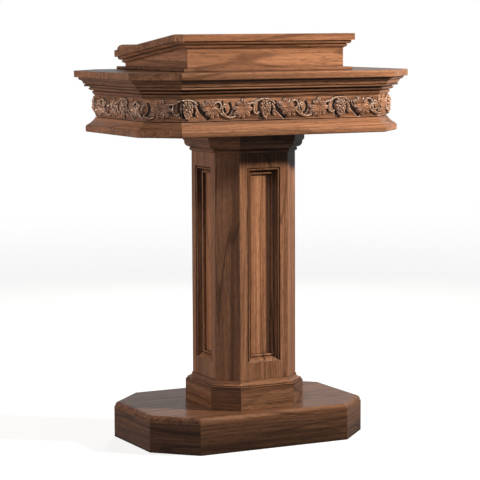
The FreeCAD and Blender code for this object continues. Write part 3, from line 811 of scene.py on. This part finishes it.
# Carved sides: the CAD node that each stands for, and where in the pattern its middle lies, in mm
CARVED_SIDES = {
    "front": ("frieze_front", 54.0),
    "front_right": ("frieze_corners", 185.0),
    "right": ("frieze_right", 179.0),
    "back_right": ("frieze_corners", 173.0),
    "back_left": ("frieze_corners", 173.0),
    "left": ("frieze_left", -43.0),
    "front_left": ("frieze_corners", -69.0),
}


def make_frieze():
    """Carves every side but the back, where the shelf's opening leaves two short plain lengths."""
    corners = outline_corners(CASE_OUTLINE)
    material = carved_oak()
    for index, side in enumerate(OCTAGON_SIDES):
        if side in CARVED_SIDES:
            node, phase = CARVED_SIDES[side]
            start, end = corners[index], corners[(index + 1) % len(corners)]
            piece = frieze_side("carved_frieze_" + side, start, end, phase, node)
            piece.data.materials.append(material)


# ---- camera, floor and light

CAMERA_PLACE = Vector((-2.5721, -5.0960, 1.2028))
CAMERA_YAW = math.radians(26.717)
CAMERA_PITCH = math.radians(-6.295)
CAMERA_ROLL = math.radians(-0.251)
CAMERA_LENS = 148.7
SENSOR_WIDTH = 36.0


def look_direction(yaw, pitch):
    """Unit vector at an angle from +Y towards +X, and up."""
    level = math.cos(pitch)
    return Vector((math.sin(yaw) * level, math.cos(yaw) * level, math.sin(pitch)))


def make_camera():
    camera = bpy.data.objects.new("camera", bpy.data.cameras.new("camera"))
    bpy.context.scene.collection.objects.link(camera)
    forward = look_direction(CAMERA_YAW, CAMERA_PITCH)
    right = forward.cross(Vector((0, 0, 1))).normalized()
    up = right.cross(forward)
    turned_right = right * math.cos(CAMERA_ROLL) + up * math.sin(CAMERA_ROLL)
    turned_up = up * math.cos(CAMERA_ROLL) - right * math.sin(CAMERA_ROLL)
    axes = Matrix((turned_right, turned_up, -forward)).transposed()
    camera.matrix_world = Matrix.Translation(CAMERA_PLACE) @ axes.to_4x4()
    camera.data.lens = CAMERA_LENS
    camera.data.sensor_width = SENSOR_WIDTH
    bpy.context.scene.camera = camera


def area_light(name, place, target, size, power, colour, shows_as="both"):
    """A round soft box that faces a target and shows as shade, as glints in the lacquer or both."""
    light = bpy.data.objects.new(name, bpy.data.lights.new(name, "AREA"))
    light.data.shape = "DISK"
    light.data.size = size
    light.data.energy = power
    light.data.color = colour
    light.location = place
    light.rotation_euler = (Vector(place) - Vector(target)).to_track_quat("Z", "Y").to_euler()
    light.visible_glossy = shows_as != "shade"
    light.visible_diffuse = shows_as != "glints"
    bpy.context.scene.collection.objects.link(light)


FLOOR_RADIUS = 7.0
FLOOR_FADES_FROM = 1.3
FLOOR_DARK = (0.29, 0.29, 0.29, 1.0)
FLOOR_LIGHT = (0.31, 0.31, 0.31, 1.0)
FLOOR_OWN_LIGHT = 0.80
WHITE = (1.0, 1.0, 1.0, 1.0)


def make_floor():
    """A pale disc that fades into the white backdrop, and throws no light back on the stand."""
    bpy.ops.mesh.primitive_circle_add(vertices=64, radius=FLOOR_RADIUS, fill_type="NGON")
    floor = bpy.context.object
    floor.name = "studio_floor"
    tree = new_material("pale_floor")
    x, y, z = tree.coordinates()
    distance = tree.math("SQRT", tree.math("ADD", tree.product(x, x), tree.product(y, y)))
    cloud = tree.noise(tree.vector(x, y, z), 1.5)
    tree.plug(tree.mix_colour(cloud, FLOOR_DARK, FLOOR_LIGHT), tree.shader.inputs["Base Color"])
    fade = tree.remap(distance, FLOOR_FADES_FROM, FLOOR_RADIUS, 1.0, 0.0, smooth=True)
    tree.plug(fade, tree.shader.inputs["Alpha"])
    tree.shader.inputs["Roughness"].default_value = 1.0
    tree.shader.inputs["Specular IOR Level"].default_value = 0.0
    tree.shader.inputs["Emission Color"].default_value = WHITE
    tree.shader.inputs["Emission Strength"].default_value = FLOOR_OWN_LIGHT
    floor.data.materials.append(tree.owner)
    floor.visible_diffuse = False
    floor.visible_glossy = False


# Light from the room: all round, from behind, from low down at the right and off the floor
ROOM = 0.02
BACKDROP = 0.36
HORIZON_GLOW = 0.11
FLOOR_GLOW = 0.13
ROOM_TINT = (0.90, 0.96, 1.0, 1.0)


def make_world():
    """White to look at. To the stand it is a dim room with a pale backdrop behind and a dull floor.

    Places are directions: x to the right, y backwards, z up.
    """
    world = bpy.data.worlds.new("studio")
    bpy.context.scene.world = world
    tree = Tree(world)
    x, y, z = tree.coordinates("Generated")
    behind = tree.remap(y, 0.0, 0.6, smooth=True)
    under_top = tree.remap(z, 0.30, 0.85, BACKDROP, 0.0, smooth=True)
    above_floor = tree.remap(z, -0.12, 0.02, smooth=True)
    near_horizon = tree.product(
        tree.remap(z, 0.02, 0.18, HORIZON_GLOW, 0.0, smooth=True),
        tree.remap(x, -0.1, 0.35, smooth=True),
        tree.remap(x, 0.55, 0.85, 1.0, 0.25, smooth=True),
    )
    not_left = tree.remap(x, -0.4, 0.1, 0.05, 1.0, smooth=True)
    backdrop = tree.math("MULTIPLY_ADD", under_top, not_left, near_horizon)
    backdrop = tree.math("MULTIPLY_ADD", behind, backdrop, ROOM)
    room = tree.nodes["Background"]
    tree.plug(tree.mix_number(above_floor, FLOOR_GLOW, backdrop), room.inputs["Strength"])
    room.inputs["Color"].default_value = ROOM_TINT
    seen = tree.nodes.new("ShaderNodeBackground")
    seen.inputs["Color"].default_value = WHITE
    seen.inputs["Strength"].default_value = 1.0
    choose = tree.nodes.new("ShaderNodeMixShader")
    tree.links.new(tree.nodes.new("ShaderNodeLightPath").outputs["Is Camera Ray"], choose.inputs[0])
    tree.links.new(room.outputs[0], choose.inputs[1])
    tree.links.new(seen.outputs[0], choose.inputs[2])
    tree.links.new(choose.outputs[0], tree.nodes["World Output"].inputs["Surface"])


NEUTRAL = (1.0, 1.0, 1.0)
WARM = (1.0, 0.96, 0.86)
PALE = (1.0, 0.96, 0.90)
AMBER = (1.0, 0.85, 0.71)


def make_lights():
    """Each light's place, the place it faces, its size and its power in watts."""
    area_light("key", (2.1, -1.6, 1.8), (0.0, -0.2, 1.0), 0.22, 135, WARM, "shade")
    area_light("glints", (0.5, -2.4, 3.0), (0.0, -0.2, 1.0), 0.3, 70, PALE, "glints")
    area_light("left", (-2.8, 1.3, 0.9), (0.0, 0.0, 0.9), 0.45, 42, AMBER)
    area_light("fill", (-2.1, -2.1, 2.6), (0.0, 0.0, 0.9), 0.6, 32, NEUTRAL)
    area_light("back", (1.4, 2.8, 1.7), (0.0, 0.0, 0.8), 0.6, 45, PALE, "shade")


make_camera()
make_world()
make_lights()
make_floor()
bpy.context.scene.view_settings.view_transform = "Standard"
paint_wood()
steel = zinc_steel()
for screws in ("board_screws", "column_screws"):
    paint(screws, steel)
make_frieze()
